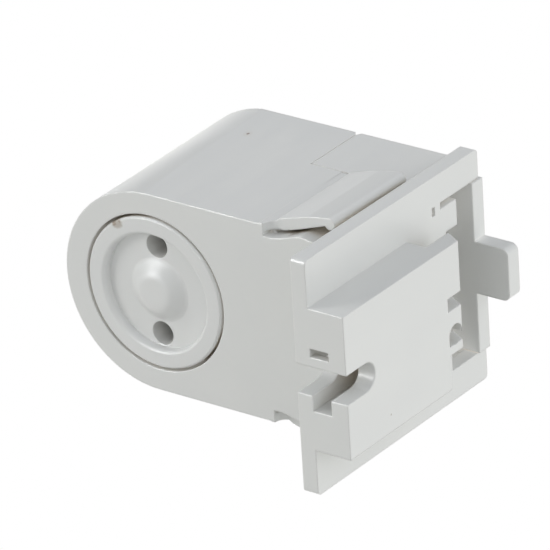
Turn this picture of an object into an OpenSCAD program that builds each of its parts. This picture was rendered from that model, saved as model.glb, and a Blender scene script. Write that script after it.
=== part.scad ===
// Lamp holder for a two-pin tube lamp. The round plunger gives way along Y when the lamp is pushed in.
// X runs from the plunger's axis to the mounting plate, Y into the shell, Z along the line of the lamp pins.
// The origin is the point midway between the two pin holes, on the floor of the plunger's face.

/* [Shell] */
// Height of the D-shaped shell at its back
shell_h = 29; // [28.4:0.1:30]
// How much each side of the shell draws in towards the front
draft = 0.25; // [0:0.05:0.4]
// How far the shell's round end is set off from the plunger's axis
end_shift = 0.3; // [0:0.1:0.4]
// Depth of the shell, front to back
shell_depth = 28.5; // [28:0.1:31]
// Distance from the plunger's axis to the back of the mounting plate
reach = 30.4; // [30:0.1:33]
// Thickness of the front wall
front_t = 2.2; // [1.8:0.1:2.6]
// Thickness of the side walls beside the plunger's chamber
wall_t = 1.8; // [1.5:0.1:2]
// Diameter of the opening that the plunger's face shows in
face_bore_d = 22.4; // [22.2:0.1:22.8]
// Diameter of the chamber that guides the plunger
chamber_d = 24.4; // [24:0.1:24.6]

/* [Plunger] */
// Diameter of the plunger's round face
face_d = 21.6; // [21:0.1:21.8]
// Height of the raised rim above the floor
rim_h = 1.25; // [0.8:0.05:1.8]
// Width of the flat top of the rim
rim_w = 2; // [1.6:0.1:2.2]
// Width of the rounded shoulder from the rim down to the floor
shoulder_w = 0.6; // [0.4:0.1:0.8]
// How far the rim stands out of the front wall at rest
rim_proud = 0.15; // [0:0.05:0.5]
// Thickness of the floor
floor_t = 2; // [1.6:0.1:2.4]
// Diameter of the boss in the middle of the floor
boss_d = 8.5; // [6:0.1:8.8]
// Diameter of the flat top of the boss
boss_top_d = 4.8; // [3:0.1:5.4]
// Height of the boss above the floor
boss_h = 1.5; // [0.8:0.1:1.8]
// Distance between the two lamp pins
pin_pitch = 12.7; // [12.4:0.1:13]
// Diameter of each pin hole
pin_hole_d = 3.4; // [3:0.1:3.6]
// Depth of the tubes that lead the pins in
pin_guide_depth = 4; // [3:0.1:5]
// Thickness of the flange that holds the plunger in
flange_t = 3; // [2:0.1:3.5]
// Length of the skirt inside the spring
skirt_len = 8; // [6:0.1:9]
// How far the plunger can be pushed in
travel = 4.5; // [3:0.1:5]
// Width of the rib that keeps the plunger from turning
key_w = 2; // [1.6:0.1:3]

/* [Latch leaves] */
// Distance from the plunger's axis to the root of each leaf
leaf_root = 19.3; // [19:0.1:20]
// Length of each leaf from its root to its tip
leaf_reach = 9.4; // [8.8:0.1:9.6]
// Thickness of each leaf at its root
leaf_t = 1.5; // [1.2:0.05:1.7]
// Height that each leaf stands above the shell at its tip
leaf_rise = 2.2; // [1.4:0.1:2.5]
// Distance from the front face to each leaf's front edge
leaf_setback = 1.65; // [1.2:0.05:2.2]
// Width of each leaf
leaf_w = 15.95; // [14:0.05:16.5]
// Opening of the slot under each leaf, at its root
leaf_slot = 0.65; // [0.5:0.05:0.8]

/* [Mounting plate] */
// Thickness of the plate
plate_t = 2.3; // [2:0.1:2.8]
// Height of the plate
plate_h = 33.3; // [32:0.1:36]
// How far the plate runs in front of the front face
plate_front = 10.4; // [10:0.1:12]
// How far the plate's back edge stays short of the shell's back
plate_short = 0.5; // [0.1:0.1:0.8]
// Rounding of the plate's corners
plate_corner_r = 0.6; // [0.3:0.1:1.5]
// Middle of the plate above the plunger's axis
plate_z = 0.1; // [-0.2:0.1:0.3]
// Height of the opening at the back edge of the plate
window_h = 24.8; // [24:0.1:25.2]
// Middle of that opening above the plate's middle
window_z = 0.1; // [-0.2:0.1:0.3]
// Distance from the front face to the start of that opening
window_start = 20.2; // [19.6:0.1:20.8]

/* [Nut block] */
// How far the block stands out of the plate
block_proud = 5.5; // [5:0.1:6.5]
// Height of the block
block_h = 20.2; // [19:0.1:21]
// Thickness of the block's outer wall
block_wall = 2.45; // [2:0.05:2.8]
// Distance from the front face to the end of the closed part of the block
block_closed = 11.5; // [10.6:0.1:11.8]
// Distance from the front face to the end of the outer wall
block_end = 15.1; // [14.6:0.1:15.8]
// Width of the screw slot
slot_w = 4.15; // [4.1:0.05:5.3]
// Length of the screw slot, from the plate's front edge
slot_len = 6.2; // [6:0.1:8]
// Height of the screw slot's middle above the plate's middle
slot_z = -0.2; // [-0.4:0.1:0.4]
// Height of the nut pocket behind the slot
pocket_h = 8.9; // [8.3:0.1:9.2]
// Thickness of the nut pocket
pocket_t = 2.9; // [2.6:0.1:3]
// Length of the nut pocket, from the plate's front edge
pocket_len = 10; // [9.6:0.1:11]
// Thickness of the lip that narrows the nut pocket's mouth above the slot
lip_t = 1.2; // [0.8:0.1:1.6]

/* [Rear insert] */
// Distance from the plunger's axis to the seam on the top
seam_x = 13.3; // [13:0.1:14]
// Distance from the front face to the seam on the top
seam_y = 17.75; // [17.65:0.05:18.6]
// Gap round the insert
seam_gap = 0.12; // [0.08:0.02:0.2]
// Thickness of the insert's back wall
back_t = 2.4; // [2:0.1:2.6]
// Thickness of the insert's other walls
insert_t = 1.6; // [1.4:0.1:2]
// How far the back wall stands out of the plate as a rib
rib_proud = 0.3; // [0.1:0.1:0.8]
// How far the tab stands out of the plate
tab_reach = 5.5; // [5:0.1:6.5]
// Height of the tab
tab_h = 7.5; // [6.6:0.1:8]
// Rounding of the tab's corners
tab_corner_r = 1; // [0.5:0.1:2]

/* [Contacts] */
// Thickness of the contact strip
strip_t = 0.4; // [0.3:0.05:0.5]
// Width of the contact strip
strip_w = 4; // [3.4:0.1:4.2]
// Diameter of the lamp pins
pin_d = 2.35; // [2.3:0.01:2.4]
// Thickness of the wire clamp's leaf
clamp_t = 0.3; // [0.2:0.05:0.4]
// Diameter of the bare wire end that the clamp takes
wire_d = 1.4; // [1:0.1:1.6]

/* [Spring] */
// Diameter of the spring wire
spring_wire_d = 0.9; // [0.7:0.05:0.95]
// Number of turns
spring_turns = 6; // [5:1:7]

/* [Hidden] */
$fn = 96;
eps = 0.02;

// Planes that pieces share
half_h = shell_h / 2;
front_half_h = half_h - draft;
end_draft = draft + 0.15;
front_y = rim_proud - rim_h;
front_in_y = front_y + front_t;
back_y = front_y + shell_depth;
back_in_y = back_y - back_t;
plate_out_x = reach + plate_t;
plate_y0 = front_y - plate_front;
plate_y1 = back_y - plate_short;
block_x = plate_out_x + block_proud;
seam_plane_y = front_y + seam_y;
shell_edge_x = leaf_root - 0.9;

// Fits
slide_fit = 0.07;
key_fit = 0.12;
rest_gap = 0.1;

// Leaf and the ramp under it
leaf_base_h = half_h - 0.6 * draft;
leaf_tip_r = leaf_t / 2 + 0.05;
leaf_y0 = front_y + leaf_setback;
under_h = leaf_base_h - leaf_t;
ramp_root_h = under_h - leaf_slot + 0.4;
ramp_crest_h = half_h - 0.7;
ramp_crest_x = leaf_root + 5;
root_r = leaf_setback - 0.05;
slot_root_r = leaf_slot / 2;

// Back end of the block's outer wall and its notches, above and below the plate's middle
notch_len = 2.9;
notch_w = 1.95;
notch_low_z = 1;
arch_top_z = -1.2;
arch_low_z = -4;
wall_low_z = -5.2;
wall_slope = 1.4;

// Catch in the plate's opening, with a slit above it
catch_len = 2.6;
catch_h = 3.65;
slit_h = 0.95;
mark_depth = 0.4;

// Chamber, flange and rib
chamber_r = chamber_d / 2;
flange_r = chamber_r - slide_fit;
key_h = 0.8;
rim_edge = 0.25;
spring_fit = 0.3;
skirt_r = chamber_r - key_h - spring_wire_d - 2 * spring_fit;
skirt_wall = 1;
flange_y0 = front_in_y + rest_gap;
flange_y1 = flange_y0 + flange_t;
plug_r = chamber_r - seam_gap;
seat_t = 0.95;
seat_y = back_in_y - strip_t - seat_t;
plug_half_h = 9.8;

// Contact blades and clamps
strip_z = pin_pitch / 2;
blade_x = pin_d / 2;
blade_y0 = floor_t + travel + 1;
strip_y = back_in_y - strip_t;
strip_end_x = reach - 3.6;
strip_slot = 0.1;
clamp_fit = 0.03;
notch_depth = 0.8;
clamp_x0 = seam_x + 5;
clamp_x1 = reach - 3.4;
insert_front_in_y = seam_plane_y + seam_gap + insert_t;
partition_x = seam_x + seam_gap;

// Spring
spring_r = chamber_r - key_h - spring_fit - spring_wire_d / 2;

module box_between(a, b) {
    translate(a) cube([b[0] - a[0], b[1] - a[1], b[2] - a[2]]);
}

// A cylinder along Y, from y0 to y1
module rod_y(r, y0, y1, x = 0, z = 0) {
    translate([x, y0, z]) rotate([-90, 0, 0]) cylinder(r = r, h = y1 - y0);
}

// A cylinder along X, from x0 to x1
module rod_x(r, x0, x1, y, z) {
    translate([x0, y, z]) rotate([0, 90, 0]) cylinder(r = r, h = x1 - x0);
}

// An X-Z outline carried along Y from y0 to y1
module along_y(y0, y1) {
    translate([0, y1, 0]) rotate([90, 0, 0]) linear_extrude(y1 - y0) children();
}

// An X-Y outline carried along Z from z0 to z1
module along_z(z0, z1) {
    translate([0, 0, z0]) linear_extrude(z1 - z0) children();
}

// A Y-Z outline carried along X from x0 to x1
module along_x(x0, x1) {
    translate([x0, 0, 0]) rotate([90, 0, 90]) linear_extrude(x1 - x0) children();
}

// The same thing above and below the plunger's axis
module both_sides() {
    children();
    mirror([0, 0, 1]) children();
}

// The shell's outline right of the axis: flat, then down to the ramp that each leaf closes on
module shell_flank_outline() {
    polygon([
        [0, 0], [0, half_h], [shell_edge_x, half_h], [shell_edge_x, ramp_root_h],
        [leaf_root + 0.3, ramp_root_h - 0.05], [leaf_root + 1.2, ramp_root_h + 0.1],
        [leaf_root + 2.2, ramp_root_h + 0.36], [ramp_crest_x - 1.2, ramp_crest_h - 0.3],
        [ramp_crest_x, ramp_crest_h], [ramp_crest_x + 0.7, ramp_crest_h - 0.1],
        [ramp_crest_x + 2, ramp_crest_h - 0.3], [reach, ramp_crest_h - 1]
    ]);
    square([reach, ramp_root_h - 0.1]);
}

// One latch leaf, seen from the front: ridge along its middle and a round tip
module leaf_outline() {
    tip_x = leaf_root + leaf_reach;
    tip_h = leaf_base_h + leaf_rise;
    ridge_x = leaf_root + 0.53 * leaf_reach;
    difference() {
        union() {
            polygon([
                [shell_edge_x - 0.6, leaf_base_h], [leaf_root + 0.1, leaf_base_h],
                [leaf_root + 0.8, leaf_base_h + 0.2 * leaf_rise],
                [ridge_x - 0.35, leaf_base_h + 0.7 * leaf_rise],
                [ridge_x + 0.25, leaf_base_h + 0.77 * leaf_rise],
                [tip_x - 1.6, tip_h - 0.08], [tip_x - leaf_tip_r, tip_h],
                [tip_x - leaf_tip_r, tip_h - 2 * leaf_tip_r], [tip_x - leaf_t, tip_h - 0.8 * leaf_t],
                [leaf_root + 3.9, under_h + 1.1], [leaf_root + 1.95, under_h + 0.5],
                [leaf_root + 1.1, under_h + 0.32], [leaf_root + 0.5, under_h + 0.35],
                [leaf_root, ramp_root_h - 0.3], [shell_edge_x - 0.6, ramp_root_h - 0.3]
            ]);
            translate([tip_x - leaf_tip_r, tip_h - leaf_tip_r]) circle(r = leaf_tip_r);
        }
        // Round end of the slot under the leaf
        translate([leaf_root + 0.25, under_h + 0.05]) circle(r = slot_root_r);
    }
}

module leaf() {
    along_y(leaf_y0, leaf_y0 + leaf_w) leaf_outline();
    // Hollow corner where the leaf's front edge runs into the end of the shell's flat top
    along_z(under_h + 0.25, leaf_base_h) difference() {
        translate([shell_edge_x - 0.6, leaf_y0 - root_r]) square([root_r + 0.6, root_r + eps]);
        translate([shell_edge_x + root_r, leaf_y0 - root_r]) circle(r = root_r);
    }
}

// Everything between the shell's top and bottom planes, which open out towards the back
module between_flats() {
    along_x(-2 * half_h, reach + plate_t) polygon([
        [front_y, -front_half_h], [back_y, -half_h], [back_y, half_h], [front_y, front_half_h]
    ]);
}

// Points round one corner of a plate, a quarter turn from the angle a0
function corner(cy, cz, r, a0) = [for (i = [0 : 6]) [cy + r * cos(a0 + 15 * i), cz + r * sin(a0 + 15 * i)]];

// The block's outer wall, seen from its side: the lower part of its back end is cut shorter
module block_wall_outline() {
    wall_y1 = front_y + block_end;
    wall_short_y1 = wall_y1 - notch_len;
    polygon([
        [plate_y0, -block_h / 2], [wall_short_y1, -block_h / 2],
        [wall_short_y1, wall_low_z], [wall_y1, wall_low_z],
        [wall_y1, block_h / 2], [plate_y0, block_h / 2]
    ]);
}

// Lip above the slot that keeps the nut from sliding out of its pocket
module pocket_lip() {
    box_between([plate_out_x - eps, plate_y0, slot_z + slot_w / 2],
                [plate_out_x + pocket_t + eps, plate_y0 + lip_t, pocket_h / 2 - 1.2]);
}

module nut_block() {
    closed_y1 = front_y + block_closed;
    wall_y1 = front_y + block_end;
    inner_x = block_x - block_wall;
    box_between([plate_out_x - eps, plate_y0, -block_h / 2], [inner_x + eps, closed_y1, block_h / 2]);
    along_x(inner_x, block_x) block_wall_outline();
    // Sloping back end of the outer wall
    along_z(wall_low_z, block_h / 2)
        polygon([[inner_x, wall_y1 - eps], [block_x, wall_y1 - eps], [inner_x, wall_y1 + wall_slope]]);
}

// Two wire notches in the back end of the block's outer wall
module wire_notches() {
    notch_y0 = front_y + block_end - notch_len;
    notch_y1 = front_y + block_end + wall_slope + 1;
    arch_r = notch_len / 2;
    x0 = block_x - block_wall - eps;
    x1 = block_x + eps;
    box_between([x0, notch_y0, notch_low_z], [x1, notch_y1, notch_low_z + notch_w]);
    rod_x(arch_r, x0, x1, notch_y0 + arch_r, arch_top_z - arch_r);
    box_between([x0, notch_y0, arch_low_z], [x1, notch_y0 + notch_len, arch_top_z - arch_r]);
    box_between([x0, notch_y0 + arch_r, arch_low_z], [x1, notch_y1, arch_low_z + 0.6 * notch_w]);
}

// Slot for the mounting screw, open at the plate's front edge, and the pocket for its nut
module screw_slot() {
    end_y = plate_y0 + slot_len - slot_w / 2;
    x0 = reach - eps;
    x1 = block_x + eps;
    box_between([x0, plate_y0 - 1, slot_z - slot_w / 2], [x1, end_y, slot_z + slot_w / 2]);
    rod_x(slot_w / 2, x0, x1, end_y, slot_z);
    box_between([plate_out_x, plate_y0 - 1, -pocket_h / 2],
                [plate_out_x + pocket_t, plate_y0 + pocket_len, pocket_h / 2]);
}

// Opening at the plate's back edge for the insert and the wires, with the catch that reaches into it
module plate_window() {
    z0 = window_z - window_h / 2;
    z1 = window_z + window_h / 2;
    window_y0 = front_y + window_start;
    catch_y1 = window_y0 + catch_len;
    x0 = reach - eps;
    x1 = plate_out_x + eps;
    difference() {
        box_between([x0, window_y0, z0], [x1, plate_y1 + 1, z1]);
        box_between([x0 - 1, window_y0 - 1, z1 - slit_h - catch_h], [x1 + 1, catch_y1, z1 - slit_h]);
    }
    // Slit above the catch and a small sink mark ahead of it
    box_between([x0, window_y0 - slit_h, z1 - slit_h], [x1, window_y0 + eps, z1]);
    box_between([plate_out_x - mark_depth, window_y0 - 3 * slit_h, z1 - 1.4 * slit_h],
                [x1, window_y0 - 2.3 * slit_h, z1 - 0.1 * slit_h]);
}

module plate() {
    difference() {
        along_x(reach, plate_out_x) polygon(concat(
            corner(plate_y1 - plate_corner_r, plate_h / 2 - plate_corner_r, plate_corner_r, 0),
            corner(plate_y0 + plate_corner_r, plate_h / 2 - plate_corner_r, plate_corner_r, 90),
            corner(plate_y0 + plate_corner_r, plate_corner_r - plate_h / 2, plate_corner_r, 180),
            corner(plate_y1 - plate_corner_r, plate_corner_r - plate_h / 2, plate_corner_r, 270)
        ));
        plate_window();
    }
}

// Space behind the front wall, beside the chamber, that opens to the back
module side_hollow() {
    hollow_x0 = seam_x + insert_t;
    hollow_h = ramp_root_h - 1.3;
    box_between([hollow_x0, front_in_y, -hollow_h], [reach - wall_t, seam_plane_y + 1, hollow_h]);
}

// Round end of the shell, as far as the seam: a cone, as it draws in towards the front
module rounded_end() {
    intersection() {
        translate([-end_shift, front_y, 0]) rotate([-90, 0, 0])
            cylinder(r1 = front_half_h, r2 = front_half_h + end_draft, h = shell_depth);
        box_between([-2 * half_h, front_y - 1, -2 * half_h], [seam_x, back_y + 1, 2 * half_h]);
    }
}

module plunger_chamber() {
    rod_y(chamber_r, front_in_y, back_y + 1);
    rod_y(face_bore_d / 2, front_y - 1, front_in_y + 1);
    // Seat for the insert's back plate
    box_between([0, seat_y - seam_gap, -plug_half_h - seam_gap],
                [seam_x + 1, back_y + 1, plug_half_h + seam_gap]);
}

// Rib along the bottom of the chamber that the plunger's flange runs on
module chamber_key() {
    box_between([-key_w / 2, front_in_y, -chamber_r - 0.3], [key_w / 2, seat_y - 1, -chamber_r + key_h]);
}

module housing() {
    color("whitesmoke") {
        difference() {
            union() {
                intersection() {
                    union() {
                        rounded_end();
                        along_y(front_y, seam_plane_y) both_outline() shell_flank_outline();
                        box_between([0, front_y, -half_h], [seam_x, back_y, half_h]);
                    }
                    between_flats();
                }
                both_sides() leaf();
                translate([0, 0, plate_z]) {
                    plate();
                    nut_block();
                }
            }
            plunger_chamber();
            side_hollow();
            translate([0, 0, plate_z]) {
                screw_slot();
                wire_notches();
            }
            seam_notch();
        }
        chamber_key();
        translate([0, 0, plate_z]) pocket_lip();
    }
}

// Small V at the back edge, where the seam starts
module seam_notch() {
    both_sides() along_z(half_h - 2, half_h + 1)
        polygon([
            [seam_x - 0.4, back_y + eps],
            [seam_x + 0.1, back_y - notch_depth],
            [seam_x + 0.6, back_y + eps]
        ]);
}

// An outline and its mirror image below the axis
module both_outline() {
    children();
    mirror([0, 1]) children();
}

// Outline of the tab on the insert's rib, seen from the front
module tab_outline() {
    tab_z = plate_z + 0.3;
    tip_x = plate_out_x + tab_reach;
    polygon(concat(
        [[reach, tab_z + tab_h / 2], [reach, tab_z - tab_h / 2]],
        corner(tip_x - tab_corner_r, tab_z - tab_h / 2 + tab_corner_r, tab_corner_r, 270),
        corner(tip_x - tab_corner_r, tab_z + tab_h / 2 - tab_corner_r, tab_corner_r, 0)
    ));
}

// Back plate: round where it closes the plunger's chamber, straight where it passes through the plate
module insert_back() {
    x1 = reach - seam_gap;
    intersection() {
        rod_y(plug_r, seat_y, back_y);
        box_between([-plug_r - 1, seat_y - 1, -plug_r - 1], [seam_x - seam_gap, back_y + 1, plug_r + 1]);
    }
    box_between([0, seat_y, -plug_half_h], [partition_x + eps, back_y, plug_half_h]);
    box_between([partition_x, back_in_y, -half_h], [x1, back_y, half_h]);
    rib_z0 = plate_z + window_z - window_h / 2 + seam_gap;
    rib_z1 = plate_z + window_z + window_h / 2 - seam_gap;
    box_between([x1 - eps, back_in_y, rib_z0], [plate_out_x + rib_proud, back_y, rib_z1]);
    along_y(back_in_y, back_y) tab_outline();
}

module insert_walls() {
    y0 = seam_plane_y + seam_gap;
    x1 = reach - seam_gap;
    // Top and bottom, flush with the shell
    both_sides() box_between([partition_x, y0, half_h - insert_t], [x1, back_y, half_h]);
    // Front wall, behind the leaves
    box_between([partition_x, y0, -half_h], [x1, insert_front_in_y, half_h]);
    // Partition beside the plunger's chamber
    box_between([partition_x, y0, -half_h], [partition_x + insert_t, back_y, half_h]);
    // Ribs that hold the clamps sideways
    for (z = [-strip_z, strip_z])
        for (side = [-1, 1])
            translate([clamp_x0 - 2, insert_front_in_y - eps, z + side * (strip_w / 2 + 0.65) - 0.5])
                cube([clamp_x1 - clamp_x0 + 1, 3.5, 1]);
}

// Passage for one contact strip through the back plate and the partition
module strip_passage() {
    z0 = strip_z - strip_w / 2 - strip_slot;
    z1 = strip_z + strip_w / 2 + strip_slot;
    box_between([blade_x - strip_slot, seat_y - 1, z0], [blade_x + strip_t + strip_slot, back_in_y, z1]);
    box_between([blade_x - strip_slot, strip_y - strip_slot, z0],
                [partition_x + insert_t + 1, back_in_y, z1]);
}

module rear_insert() {
    color("whitesmoke") difference() {
        intersection() {
            union() {
                insert_back();
                insert_walls();
            }
            union() {
                between_flats();
                box_between([reach, 0, -half_h], [2 * reach, back_y, half_h]);
            }
        }
        both_sides() strip_passage();
        seam_notch();
    }
}

// Half outline of the plunger, turned about its axis, with its step down from rim to floor
module plunger_profile() {
    rim_r = face_d / 2;
    shoulder_r = rim_r - rim_w;
    shoulder_n = 6;
    boss_edge = 0.35;
    skirt_y1 = flange_y1 + skirt_len;
    polygon(concat(
        [[0, -boss_h], [0, floor_t], [skirt_r - skirt_wall, floor_t], [skirt_r - skirt_wall, skirt_y1]],
        [[skirt_r, skirt_y1], [skirt_r, flange_y1], [flange_r, flange_y1], [flange_r, flange_y0]],
        [[rim_r, flange_y0], [rim_r, rim_edge - rim_h], [rim_r - rim_edge, -rim_h]],
        [for (i = [0 : shoulder_n])
            let (turn = 90 * i / shoulder_n)
            [shoulder_r - shoulder_w * sin(turn), -rim_h + 0.8 * rim_h * (1 - cos(turn))]],
        [[shoulder_r - shoulder_w, 0], [boss_d / 2 + boss_edge, 0], [boss_d / 2 - 0.1, -0.15]],
        [[boss_top_d / 2 + boss_edge, boss_edge / 2 - boss_h], [boss_top_d / 2 - 0.1, -boss_h]]
    ));
}

module plunger_body() {
    difference() {
        rotate([-90, 0, 0]) rotate_extrude() plunger_profile();
        // Groove for the chamber's rib
        box_between([-key_w / 2 - key_fit, flange_y0 - 1, -chamber_r - 1],
                    [key_w / 2 + key_fit, flange_y1 + 1, -chamber_r + key_h + key_fit]);
    }
    // Tubes that lead the pins in
    both_sides()
        rod_y(pin_hole_d / 2 + 0.7, floor_t - eps, floor_t / 2 + pin_guide_depth, z = strip_z);
    // Ribs that tie the tubes to the skirt
    both_sides() box_between([-0.5, floor_t - eps, strip_z], [0.5, floor_t + 2, skirt_r - skirt_wall / 2]);
}

module plunger() {
    color("gainsboro") difference() {
        plunger_body();
        both_sides() rod_y(pin_hole_d / 2, -1, floor_t + pin_guide_depth + 2, z = strip_z);
        // Side of each tube that the contact blade reaches through
        both_sides()
            box_between([blade_x - 0.25, floor_t + 0.4, strip_z - strip_w / 2 - 0.3],
                        [skirt_r - skirt_wall - 1, floor_t + pin_guide_depth + 2,
                         strip_z + strip_w / 2 + 0.3]);
    }
}

// Points of one ring of the spring's wire at a turn angle
function spring_ring(a, sides) = [
    for (k = [0 : sides - 1])
        let (b = 360 * k / sides, r = spring_r + spring_wire_d / 2 * cos(b))
            [r * cos(a), spring_y(a) + spring_wire_d / 2 * sin(b), r * sin(a)]
];

// Place along Y of the wire's middle: half a turn lies flat at each end
function spring_y(a) =
    let (free = 360 * (spring_turns - 1), y0 = flange_y1 + spring_wire_d / 2 + 0.05,
         y1 = seat_y - spring_wire_d / 2 - 0.05)
        y0 + (y1 - y0) * min(1, max(0, (a - 180) / free));

module plunger_spring() {
    sides = 8;
    steps = 20 * spring_turns;
    rings = [for (i = [0 : steps]) spring_ring(360 * spring_turns * i / steps, sides)];
    points = [for (ring = rings) each ring];
    side_faces = [
        for (i = [0 : steps - 1]) for (k = [0 : sides - 1])
            let (n = (k + 1) % sides)
                [i * sides + k, (i + 1) * sides + k, (i + 1) * sides + n, i * sides + n]
    ];
    start_face = [for (k = [0 : sides - 1]) k];
    end_face = [for (k = [sides - 1 : -1 : 0]) steps * sides + k];
    color("silver") polyhedron(points = points, faces = concat(side_faces, [start_face, end_face]));
}

// One contact: a blade along the lamp pin, then a strip along the back wall to the wire clamp
module contact_outline() {
    lead = 0.9;
    polygon([
        [blade_x, blade_y0 + lead], [blade_x + 0.5, blade_y0], [blade_x + 0.5 + strip_t, blade_y0],
        [blade_x + strip_t, blade_y0 + lead], [blade_x + strip_t, strip_y],
        [strip_end_x, strip_y], [strip_end_x, strip_y + strip_t], [blade_x, strip_y + strip_t]
    ]);
}

module upper_contact() {
    color("gold") along_z(strip_z - strip_w / 2, strip_z + strip_w / 2) contact_outline();
}

module lower_contact() {
    color("gold") along_z(-strip_z - strip_w / 2, -strip_z + strip_w / 2) contact_outline();
}

// One wire clamp: a leg along the insert's front wall, a bend, and a leg that presses the wire
module clamp_outline() {
    leg_y = insert_front_in_y + clamp_fit;
    tip = [clamp_x0 + 2 * wire_d, strip_y - 0.6 * wire_d];
    polygon([
        [clamp_x0, leg_y], [clamp_x1, leg_y], [clamp_x1 + 1.6 * clamp_t, leg_y + 1.2 * clamp_t],
        [clamp_x1 + 1.2 * clamp_t, leg_y + 3 * clamp_t], tip, tip - [clamp_t, 0.3 * clamp_t],
        [clamp_x1 - 0.5 * clamp_t, leg_y + 2.5 * clamp_t], [clamp_x1 - 0.3 * clamp_t, leg_y + clamp_t],
        [clamp_x0, leg_y + clamp_t]
    ]);
}

module upper_wire_clamp() {
    color("lightsteelblue") along_z(strip_z - strip_w / 2, strip_z + strip_w / 2) clamp_outline();
}

module lower_wire_clamp() {
    color("lightsteelblue") along_z(-strip_z - strip_w / 2, -strip_z + strip_w / 2) clamp_outline();
}

housing();
rear_insert();
plunger();
plunger_spring();
upper_contact();
lower_contact();
upper_wire_clamp();
lower_wire_clamp();
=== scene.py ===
import math

import bpy
from mathutils import Matrix, Vector


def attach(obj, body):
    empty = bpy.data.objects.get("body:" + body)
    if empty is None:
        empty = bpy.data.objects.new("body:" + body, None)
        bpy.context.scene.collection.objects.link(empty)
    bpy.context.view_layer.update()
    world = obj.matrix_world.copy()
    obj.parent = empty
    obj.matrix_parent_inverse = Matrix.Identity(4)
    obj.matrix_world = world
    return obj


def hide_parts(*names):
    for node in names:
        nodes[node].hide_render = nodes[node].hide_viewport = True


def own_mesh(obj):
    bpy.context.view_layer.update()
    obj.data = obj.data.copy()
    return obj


MM = 0.001

# Camera, as fitted to the photo: angles in degrees, lengths in millimetres
CAM_AZIMUTH = 37.596
CAM_ELEVATION = 25.891
CAM_ROLL = -3.654
CAM_DISTANCE = 797.19
CAM_AIM = (15.0, 13.9, 0.12)
CAM_OFFSET = (5.226, 0.297)
CAM_LENS = 398.12
SENSOR = 36.0

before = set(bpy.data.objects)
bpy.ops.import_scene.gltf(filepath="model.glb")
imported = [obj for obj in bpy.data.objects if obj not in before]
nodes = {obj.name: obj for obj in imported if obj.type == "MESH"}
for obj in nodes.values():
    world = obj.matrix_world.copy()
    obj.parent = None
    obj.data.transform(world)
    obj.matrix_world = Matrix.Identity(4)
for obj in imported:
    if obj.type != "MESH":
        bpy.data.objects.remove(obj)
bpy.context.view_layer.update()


# Small helpers for node trees

def new_material(name):
    mat = bpy.data.materials.new(name)
    mat.use_nodes = True
    mat.node_tree.nodes.clear()
    return mat


class Tree:
    """Adds nodes to a material and links them by name."""

    def __init__(self, mat):
        self.tree = mat.node_tree

    def add(self, kind, **values):
        node = self.tree.nodes.new(kind)
        inputs = values.pop("inputs", {})
        for key, value in values.items():
            setattr(node, key, value)
        for key, value in inputs.items():
            socket = node.inputs[key]
            if isinstance(value, bpy.types.NodeSocket):
                self.tree.links.new(value, socket)
            else:
                socket.default_value = value
        return node

    def math(self, operation, a, b=0.0, clamp=False):
        node = self.add("ShaderNodeMath", operation=operation, use_clamp=clamp)
        for socket, value in zip(node.inputs, (a, b)):
            if isinstance(value, bpy.types.NodeSocket):
                self.tree.links.new(value, socket)
            else:
                socket.default_value = value
        return node.outputs[0]

    def affine(self, value, factor, offset):
        """value * factor + offset"""
        node = self.add("ShaderNodeMath", operation="MULTIPLY_ADD")
        self.tree.links.new(value, node.inputs[0])
        node.inputs[1].default_value = factor
        node.inputs[2].default_value = offset
        return node.outputs[0]

    def mix(self, factor, a, b, blend="MIX"):
        node = self.add("ShaderNodeMix", data_type="RGBA", blend_type=blend)
        for socket, value in ((node.inputs[0], factor), (node.inputs[6], a), (node.inputs[7], b)):
            if isinstance(value, bpy.types.NodeSocket):
                self.tree.links.new(value, socket)
            else:
                socket.default_value = value
        return node.outputs[2]

    def noise(self, coords, scale, detail=3.0, roughness=0.5):
        node = self.add("ShaderNodeTexNoise", inputs={"Vector": coords, "Scale": scale, "Detail": detail,
                                                       "Roughness": roughness})
        return node.outputs["Fac"]

    def ramp(self, value, low, high):
        """0 below low, 1 above high, smooth between."""
        node = self.add("ShaderNodeMapRange", interpolation_type="SMOOTHSTEP",
                        inputs={"Value": value, "From Min": low, "From Max": high})
        return node.outputs["Result"]


def spot(tree, coords, centre_mm, radius_mm, stretch=(1.0, 1.0, 1.0), wobble=0.5):
    """1 inside a small uneven spot at centre_mm, 0 outside; stretch widens it along an axis."""
    moved = tree.add("ShaderNodeVectorMath", operation="SUBTRACT",
                     inputs={0: coords, 1: tuple(c * MM for c in centre_mm)}).outputs["Vector"]
    scaled = tree.add("ShaderNodeVectorMath", operation="DIVIDE",
                      inputs={0: moved, 1: tuple(radius_mm * MM * k for k in stretch)}).outputs["Vector"]
    offset = tree.add("ShaderNodeVectorMath", operation="LENGTH", inputs={0: scaled}).outputs["Value"]
    uneven = tree.noise(coords, 1.1 / (radius_mm * MM), 3.0, 0.6)
    edge = tree.affine(uneven, -2.0 * wobble, 1.0 + wobble)
    inside = tree.math("DIVIDE", offset, edge)
    return tree.math("SUBTRACT", 1.0, tree.ramp(inside, 0.6, 1.15))


# The plastic's texture: noise scales per metre, and how far the soil and painted shade look for a
# neighbouring wall
BROAD_SCALE = 75.0
FINE_SCALE = 1300.0
FLOW_SCALE = 240.0
CLOUD_SCALE = 95.0
PATCH_SCALE = 240.0
TIGHT_REACH = 1.0 * MM
DEEP_REACH = 7.0 * MM
BUMP_FINE = 0.03 * MM
BUMP_BROAD = 0.1 * MM

# Painted light: a glow in clean gaps and in the hollow of the plate's window, standing for light that thin
# walls let in
GAP_GLOW = 0.10
HOLLOW_GLOW = 0.22
GLOW_TINT = (0.93, 0.915, 0.88, 1.0)

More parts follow.
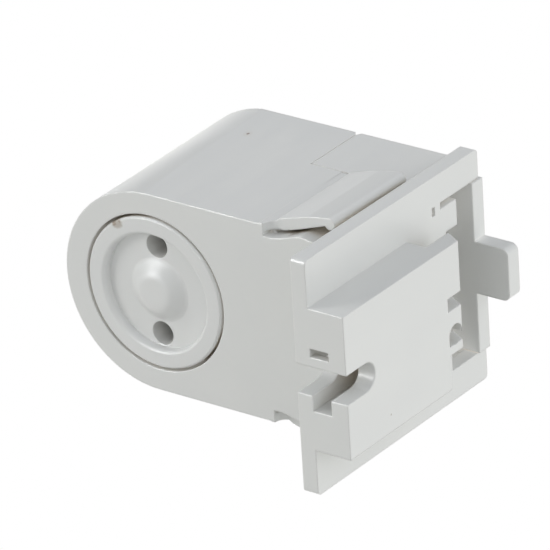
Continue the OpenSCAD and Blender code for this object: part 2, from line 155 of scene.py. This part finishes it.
# Painted shade for deep hollows, grey and warmer where soiled, and a soil and painted shade line for tight
# corners
HOLLOW_SHADE = (0.70, 0.68, 0.64, 1.0)
SOILED_HOLLOW_SHADE = (0.70, 0.635, 0.54, 1.0)
SOIL_AND_SHADE_LINE = (0.36, 0.28, 0.20, 1.0)
# Paler painted highlight for outer rounded edges
EDGE_HIGHLIGHT = (0.88, 0.88, 0.865, 1.0)
# Shares of the base colour for its darker clouds and streaks, partly painted sheen on upward faces, and where
# its grain is warm
DULL_SHARE = (0.925, 0.93, 0.945)
WARM_SHARE = (0.99, 0.98, 0.945)
# How much soil and painted shade a gap gets outside the placed spheres
LEAST_SOIL_AND_SHADE = 0.08


def share_of(base, share):
    return tuple(b * k for b, k in zip(base, share)) + (1.0,)


def plastic(name, base, soil_and_shade_amount=0.5, bevel_mm=0.35, streaks_and_sheen=0.0, rough=0.3, spots=(), soil_and_shade_places=(),
            rounded=(), lit=()):
    """Moulded plastic, clouded and streaked, with soil and painted shade in its gaps, a painted sheen on its
    upward faces, painted highlights on its small rounded edges and a painted glow in clean gaps.

    spots are marks, soil_and_shade_places says where the gaps get soil and painted shade, rounded where edges
    are softer, and lit where a painted glow stands for light that thin walls let in.
    """
    mat = new_material(name)
    t = Tree(mat)
    coords = t.add("ShaderNodeTexCoord").outputs["Object"]
    radius = bevel_mm * MM
    for centre, reach_mm, soft_mm in rounded:
        away = t.add("ShaderNodeVectorMath", operation="DISTANCE",
                     inputs={0: coords, 1: tuple(c * MM for c in centre)}).outputs["Value"]
        inside = t.math("SUBTRACT", 1.0, t.ramp(away, 0.85 * reach_mm * MM, reach_mm * MM))
        radius = t.affine(inside, (soft_mm - bevel_mm) * MM, bevel_mm * MM)
    bevel = t.add("ShaderNodeBevel", samples=8, inputs={"Radius": radius}).outputs["Normal"]

    # Broad cloudiness, fine grain, and flow streaks along the draw of the mould; streaks and clouds are
    # stronger on upward faces, where they are painted sheen too
    broad = t.noise(coords, BROAD_SCALE, 3.0)
    fine = t.noise(coords, FINE_SCALE, 4.0, 0.6)
    along = t.add("ShaderNodeMapping", inputs={"Vector": coords, "Scale": (1.0, 0.12, 1.0)}).outputs[0]
    flow = t.noise(along, FLOW_SCALE, 2.0, 0.4)
    pale = share_of(base, (1.0, 1.0, 1.0))
    dull = share_of(base, DULL_SHARE)
    warm = share_of(base, WARM_SHARE)
    upward = t.ramp(t.add("ShaderNodeSeparateXYZ", inputs={0: bevel}).outputs["Z"], 0.5, 0.9)
    streaks_and_sheen = t.affine(upward, streaks_and_sheen, 0.15)
    colour = t.mix(t.affine(t.ramp(broad, 0.2, 0.8), 0.4, 0.6), dull, pale)
    colour = t.mix(t.math("MULTIPLY", t.ramp(flow, 0.25, 0.75), streaks_and_sheen), colour, dull)
    drawn = t.add("ShaderNodeMapping", inputs={"Vector": coords, "Scale": (1.0, 0.4, 1.0)}).outputs[0]
    cloudy_sheen = t.ramp(t.noise(drawn, CLOUD_SCALE, 3.0, 0.5), 0.3, 0.7)
    colour = t.mix(t.math("MULTIPLY", cloudy_sheen, upward), colour, dull)
    colour = t.mix(t.math("MULTIPLY", t.ramp(fine, 0.4, 0.9), 0.08), colour, warm)

    # Soil and painted shade: a thin brown line in tight corners, partly soil and partly painted shade, and a
    # wider painted shade in deep hollows, warmer where soiled
    tight = t.add("ShaderNodeAmbientOcclusion", samples=10, inputs={"Distance": TIGHT_REACH}).outputs["AO"]
    deep = t.add("ShaderNodeAmbientOcclusion", samples=10, inputs={"Distance": DEEP_REACH}).outputs["AO"]
    patch = t.affine(t.ramp(t.noise(coords, PATCH_SCALE, 4.0, 0.65), 0.3, 0.7), 0.6, 0.5)
    corner_soil_and_shade = t.math("MULTIPLY", t.math("SUBTRACT", 1.0, t.ramp(tight, 0.05, 0.50)), patch)
    soil_and_shade_mask = LEAST_SOIL_AND_SHADE
    for centre, reach, stretch in soil_and_shade_places:
        near = spot(t, coords, centre, reach, stretch, wobble=0.2)
        soil_and_shade_mask = t.math("MAXIMUM", near, soil_and_shade_mask)
    corner_soil_and_shade = t.math("MULTIPLY", corner_soil_and_shade, soil_and_shade_mask)
    # Painted light: clean tight gaps glow a little, standing for light through thin walls
    glow = t.math("MULTIPLY", t.math("SUBTRACT", 1.0, t.ramp(tight, 0.0, 0.35)), GAP_GLOW)
    glow = t.math("MULTIPLY", glow, t.math("SUBTRACT", 1.0, soil_and_shade_mask))
    shade = t.math("SUBTRACT", 1.0, t.ramp(deep, 0.05, 0.55))
    # Painted light: the sheltered hollow in the lit places glows, standing for light that thin walls let in
    sheltered = t.math("SUBTRACT", 1.0, t.ramp(deep, 0.25, 0.90))
    for centre, reach, stretch in lit:
        near = t.math("MULTIPLY", spot(t, coords, centre, reach, stretch, wobble=0.0), sheltered)
        glow = t.math("ADD", glow, t.math("MULTIPLY", near, HOLLOW_GLOW))
    hollow_shade_and_soil = t.mix(soil_and_shade_mask, HOLLOW_SHADE, SOILED_HOLLOW_SHADE)
    colour = t.mix(t.math("MULTIPLY", shade, 0.8 * soil_and_shade_amount, True), colour, hollow_shade_and_soil)
    colour = t.mix(t.math("MULTIPLY", corner_soil_and_shade, soil_and_shade_amount, True), colour, SOIL_AND_SHADE_LINE)

    # Painted highlight: outer rounded edges are painted paler, standing for light that they let through
    flat = t.add("ShaderNodeNewGeometry").outputs["Normal"]
    turn = t.add("ShaderNodeVectorMath", operation="DOT_PRODUCT", inputs={0: bevel, 1: flat}).outputs["Value"]
    rounding = t.math("SUBTRACT", 1.0, t.ramp(turn, 0.82, 0.998))
    edge_highlight = t.math("MULTIPLY", rounding, t.ramp(tight, 0.70, 0.92))
    colour = t.mix(t.math("MULTIPLY", edge_highlight, 0.9, True), colour, EDGE_HIGHLIGHT)

    for centre, reach, stretch, tint, strength in spots:
        mask = t.math("MULTIPLY", spot(t, coords, centre, reach, stretch), strength)
        colour = t.mix(mask, colour, tuple(tint) + (1.0,))

    worn = t.affine(t.math("MULTIPLY", cloudy_sheen, upward), 0.16, rough + 0.08)
    roughness = t.math("ADD", worn, t.math("MULTIPLY", corner_soil_and_shade, 0.4), True)
    grain = t.add("ShaderNodeBump", inputs={"Strength": 0.015, "Distance": BUMP_FINE, "Height": fine,
                                            "Normal": bevel}).outputs["Normal"]
    sink = t.add("ShaderNodeBump", inputs={"Strength": 0.10, "Distance": BUMP_BROAD, "Height": broad,
                                           "Normal": grain}).outputs["Normal"]
    shader = t.add("ShaderNodeBsdfPrincipled", inputs={"Base Color": colour, "Roughness": roughness,
                                                       "IOR": 1.5, "Normal": sink,
                                                       "Emission Color": GLOW_TINT,
                                                       "Emission Strength": glow})
    t.add("ShaderNodeOutputMaterial", inputs={"Surface": shader.outputs[0]})
    return mat


def metal(name, base, rough, streak):
    """Plain strip or wire metal with drawing marks and light tarnish."""
    mat = new_material(name)
    t = Tree(mat)
    coords = t.add("ShaderNodeTexCoord").outputs["Object"]
    stretched = t.add("ShaderNodeMapping", inputs={"Vector": coords, "Scale": (1.0, streak, 1.0)}).outputs[0]
    lines = t.noise(stretched, 2200.0, 3.0)
    tarnish = t.ramp(t.noise(coords, 380.0, 4.0, 0.6), 0.4, 0.75)
    colour = t.mix(tarnish, tuple(base) + (1.0,), tuple(c * 0.72 for c in base) + (1.0,))
    roughness = t.affine(lines, 0.2, rough)
    bump = t.add("ShaderNodeBump", inputs={"Strength": 0.15, "Distance": BUMP_FINE,
                                           "Height": lines}).outputs["Normal"]
    shader = t.add("ShaderNodeBsdfPrincipled", inputs={"Base Color": colour, "Metallic": 1.0,
                                                       "Roughness": roughness, "Normal": bump})
    t.add("ShaderNodeOutputMaterial", inputs={"Surface": shader.outputs[0]})
    return mat


# Marks seen in the photo: place in the frame and radius in mm, stretch, colour, strength
RED_BROWN = (0.13, 0.055, 0.04)
BROWN = (0.24, 0.16, 0.10)
GREY_BROWN = (0.42, 0.38, 0.33)
FAINT = (0.60, 0.56, 0.50)
LEAF_GAP_BROWN = (0.36, 0.22, 0.09)
LEAF_ROOT_SHADE = (0.22, 0.18, 0.13)
SLOT_TAN = (0.50, 0.38, 0.24)
ROUND = (1.0, 1.0, 1.0)
HOUSING_SPOTS = (
    ((0.58, 20.17, 14.45), 0.22, (1.0, 1.3, 3.0), RED_BROWN, 0.9),
    ((0.58, 20.17, 14.45), 0.65, (1.0, 1.3, 3.0), FAINT, 0.22),
    ((38.2, -2.4, -7.5), 0.16, ROUND, BROWN, 0.45),
    ((27.8, 3.0, 13.9), 1.5, (1.0, 3.0, 0.6), LEAF_GAP_BROWN, 0.9),
    # Painted shade with some soil: a dark brown spot darkens the slot at the leaf's root
    ((23.2, 2.4, 13.25), 1.0, (2.6, 2.8, 0.55), LEAF_ROOT_SHADE, 0.9),
    ((34.8, -3.0, 1.2), 1.9, (1.0, 1.2, 0.8), SLOT_TAN, 0.7),
)
PLUNGER_SPOTS = (
    ((-5.5, -1.1, 8.9), 0.95, (1.1, 1.0, 0.8), GREY_BROWN, 0.8),
    ((-5.9, -1.1, 8.8), 0.40, ROUND, BROWN, 0.6),
    ((-5.0, -1.1, 9.2), 0.22, ROUND, BROWN, 0.7),
    ((3.3, -0.9, -1.1), 0.14, ROUND, BROWN, 0.5),
    ((-2.3, -1.1, -7.9), 0.2, (1.6, 1.0, 0.7), FAINT, 0.6),
)

# Where the gaps get soil and painted shade, and the hollow that gets a painted glow: place in the frame and
# radius in mm, stretch
FACE_SOIL_AND_SHADE = (((-4.6, 0.5, 9.8), 5.5, (1.0, 1.0, 0.7)), ((8.2, 0.5, -6.6), 4.4, (1.0, 1.0, 1.0)))
SHELL_SOIL_AND_SHADE = FACE_SOIL_AND_SHADE + (
    ((26.6, 8.0, 14.2), 6.0, (1.0, 2.0, 0.6)), ((22.3, 5.0, 13.5), 3.2, (1.0, 3.0, 0.45)),
    ((27.0, 8.0, -14.0), 6.0, (1.0, 2.0, 0.6)),
    ((34.0, -2.0, -0.4), 4.4, (1.0, 1.3, 1.0)), ((31.0, 22.0, -2.0), 9.0, ROUND),
    ((28.0, 24.0, -2.0), 12.0, ROUND))
WINDOW = (((32.0, 23.0, -2.0), 9.5, (1.0, 1.0, 1.7)),)
PLUNGER_SOIL_AND_SHADE = FACE_SOIL_AND_SHADE + (((0.8, 3.0, 6.8), 2.4, ROUND), ((0.8, 3.0, -5.9), 2.4, ROUND))

SHELL_WHITE = (0.735, 0.745, 0.728)
PLUNGER_WHITE = (0.735, 0.745, 0.733)
# The plunger's centre boss: its middle, its reach and the radius of its soft edges, in mm
BOSS = ((0.0, -0.8, 0.0), 4.6, 1.5)
shell_mat = plastic("shell_plastic", SHELL_WHITE, 0.9, streaks_and_sheen=0.7, rough=0.2, spots=HOUSING_SPOTS,
                    soil_and_shade_places=SHELL_SOIL_AND_SHADE, lit=WINDOW)
insert_mat = plastic("insert_plastic", SHELL_WHITE, 0.9, streaks_and_sheen=0.4, rough=0.26,
                     soil_and_shade_places=SHELL_SOIL_AND_SHADE, lit=WINDOW)
plunger_mat = plastic("plunger_plastic", PLUNGER_WHITE, 0.8, bevel_mm=0.22, rough=0.32,
                      spots=PLUNGER_SPOTS, soil_and_shade_places=PLUNGER_SOIL_AND_SHADE, rounded=(BOSS,))
steel_mat = metal("spring_steel", (0.62, 0.61, 0.59), 0.28, 0.15)
brass_mat = metal("contact_brass", (0.80, 0.60, 0.28), 0.25, 0.15)

PAINT = {
    "housing": shell_mat,
    "rear_insert": insert_mat,
    "plunger": plunger_mat,
    "plunger_spring": steel_mat,
    "upper_contact": brass_mat,
    "lower_contact": brass_mat,
    "upper_wire_clamp": steel_mat,
    "lower_wire_clamp": steel_mat,
}
for node_name, mat in PAINT.items():
    materials = nodes[node_name].data.materials
    if len(materials) == 0:
        materials.append(mat)
    for i in range(len(materials)):
        materials[i] = mat

spring = nodes["plunger_spring"]
bpy.context.view_layer.update()
coil = spring.copy()
coil.data = spring.data.copy()
coil.name = "plunger_spring_coil"
bpy.context.scene.collection.objects.link(coil)
coil.parent = None
coil.matrix_world = spring.matrix_world.copy()
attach(coil, "holder")
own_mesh(coil)
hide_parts("plunger_spring")


# World: white to the camera. Soft light comes from a white table below, a dimmer band above the
# horizon, a ceiling and the plate's side, less so from low in front. Reflections see the table, the
# ceiling and a bright box to the left. The edges are heights or cosines between which a part fades in
TABLE_LIGHT = 0.74
BAND_LIGHT = 0.54
CEILING_LIGHT = 0.40
RIGHT_GAIN_LOW = 0.45
RIGHT_GAIN_HIGH = 2.3
FRONT_SHADE = 0.6
FRONT_TOWARDS = (0.451, -0.601, -0.661)
TABLE_SHINE = 1.3
BAND_SHINE = 0.12
CEILING_SHINE = 1.1
BOX_SHINE = 14.0
HALO_SHINE = 1.2
BOX_TOWARDS = (-0.551, -0.732, 0.401)
SOFT_EDGES = ((-0.10, 0.02), (0.15, 0.60))
SHINE_EDGES = ((0.13, 0.24), (0.30, 0.48))
GAIN_HEIGHTS = (-0.1, 0.4)
GAIN_SIDE = (-0.1, 1.0)
FRONT_EDGE = (0.5, 0.9)
BOX_EDGE = (0.955, 0.985)
HALO_EDGE = (0.80, 0.95)
TINT_HEIGHTS = (-0.2, 0.5)
TABLE_TINT = (1.0, 1.0, 0.975, 1.0)
CEILING_TINT = (0.965, 0.975, 1.0, 1.0)

world = bpy.data.worlds.new("studio")
bpy.context.scene.world = world
world.use_nodes = True
world.node_tree.nodes.clear()
w = Tree(world)
facing = w.add("ShaderNodeTexCoord").outputs["Generated"]
parts = w.add("ShaderNodeSeparateXYZ", inputs={0: facing})
rays = w.add("ShaderNodeLightPath")


def height_profile(low, band, high, edges):
    """Brightness by height: low below the horizon, band just above it, high overhead."""
    edge, top = edges
    over = w.ramp(parts.outputs["Z"], edge[0], edge[1])
    base = w.add("ShaderNodeMapRange", inputs={"Value": over, "To Min": low,
                                               "To Max": band}).outputs["Result"]
    lift = w.math("MULTIPLY", w.ramp(parts.outputs["Z"], top[0], top[1]), high - band)
    return w.math("ADD", base, lift)


soft = height_profile(TABLE_LIGHT, BAND_LIGHT, CEILING_LIGHT, SOFT_EDGES)
gain = w.add("ShaderNodeMapRange", inputs={"Value": parts.outputs["Z"], "From Min": GAIN_HEIGHTS[0],
                                           "From Max": GAIN_HEIGHTS[1], "To Min": RIGHT_GAIN_LOW,
                                           "To Max": RIGHT_GAIN_HIGH}).outputs["Result"]
gain = w.affine(w.math("MULTIPLY", gain, w.ramp(parts.outputs["X"], *GAIN_SIDE)), 1.0, 1.0)
soft = w.math("MULTIPLY", soft, gain)
towards_front = w.add("ShaderNodeVectorMath", operation="DOT_PRODUCT",
                      inputs={0: facing, 1: FRONT_TOWARDS}).outputs["Value"]
soft = w.math("MULTIPLY", soft, w.affine(w.ramp(towards_front, *FRONT_EDGE), -FRONT_SHADE, 1.0))
shine = height_profile(TABLE_SHINE, BAND_SHINE, CEILING_SHINE, SHINE_EDGES)
towards_box = w.add("ShaderNodeVectorMath", operation="DOT_PRODUCT",
                    inputs={0: facing, 1: BOX_TOWARDS}).outputs["Value"]
shine = w.math("ADD", shine, w.math("MULTIPLY", w.ramp(towards_box, *BOX_EDGE), BOX_SHINE))
shine = w.math("ADD", shine, w.math("MULTIPLY", w.ramp(towards_box, *HALO_EDGE), HALO_SHINE))
strength = w.add("ShaderNodeMix", data_type="FLOAT", inputs={0: rays.outputs["Is Glossy Ray"], 2: soft,
                                                             3: shine}).outputs[0]
tint = w.mix(w.ramp(parts.outputs["Z"], *TINT_HEIGHTS), TABLE_TINT, CEILING_TINT)
fill = w.add("ShaderNodeBackground", inputs={"Color": tint, "Strength": strength})
seen = w.add("ShaderNodeBackground", inputs={"Color": (1.0, 1.0, 1.0, 1.0), "Strength": 1.0})
either = w.add("ShaderNodeMixShader", inputs={0: rays.outputs["Is Camera Ray"], 1: fill.outputs[0],
                                              2: seen.outputs[0]})
w.add("ShaderNodeOutputWorld", inputs={"Surface": either.outputs[0]})


# One soft lamp from the left and in front
LAMP_PLACE = (-0.66, -0.55, 0.50)
LAMP_AIM = (0.015, 0.014, 0.0)
LAMP_SIZE = 0.50
LAMP_POWER = 3.1
LAMP_TINT = (1.0, 0.995, 0.975)

lamp_data = bpy.data.lights.new("left", "AREA")
lamp_data.shape = "DISK"
lamp_data.size = LAMP_SIZE
lamp_data.energy = LAMP_POWER
lamp_data.color = LAMP_TINT
lamp = bpy.data.objects.new("left", lamp_data)
bpy.context.scene.collection.objects.link(lamp)
lamp.location = LAMP_PLACE
lamp.rotation_euler = (Vector(LAMP_AIM) - Vector(LAMP_PLACE)).to_track_quat("-Z", "Y").to_euler()

# Camera
azimuth = math.radians(CAM_AZIMUTH)
elevation = math.radians(CAM_ELEVATION)
roll = math.radians(CAM_ROLL)
back = Vector((math.sin(azimuth) * math.cos(elevation), -math.cos(azimuth) * math.cos(elevation),
               math.sin(elevation)))
level = (-back).cross(Vector((0, 0, 1))).normalized()
upright = level.cross(-back)
right = math.cos(roll) * level + math.sin(roll) * upright
up = -math.sin(roll) * level + math.cos(roll) * upright
eye = (Vector(CAM_AIM) - CAM_OFFSET[0] * right - CAM_OFFSET[1] * up + CAM_DISTANCE * back) * MM
cam_data = bpy.data.cameras.new("camera")
cam_data.sensor_width = SENSOR
cam_data.lens = CAM_LENS
cam_data.clip_start = 0.05
cam_data.clip_end = 10.0
cam = bpy.data.objects.new("camera", cam_data)
bpy.context.scene.collection.objects.link(cam)
cam.matrix_world = Matrix.Translation(eye) @ Matrix((right, up, back)).transposed().to_4x4()
bpy.context.scene.camera = cam
bpy.context.scene.view_settings.view_transform = "Standard"
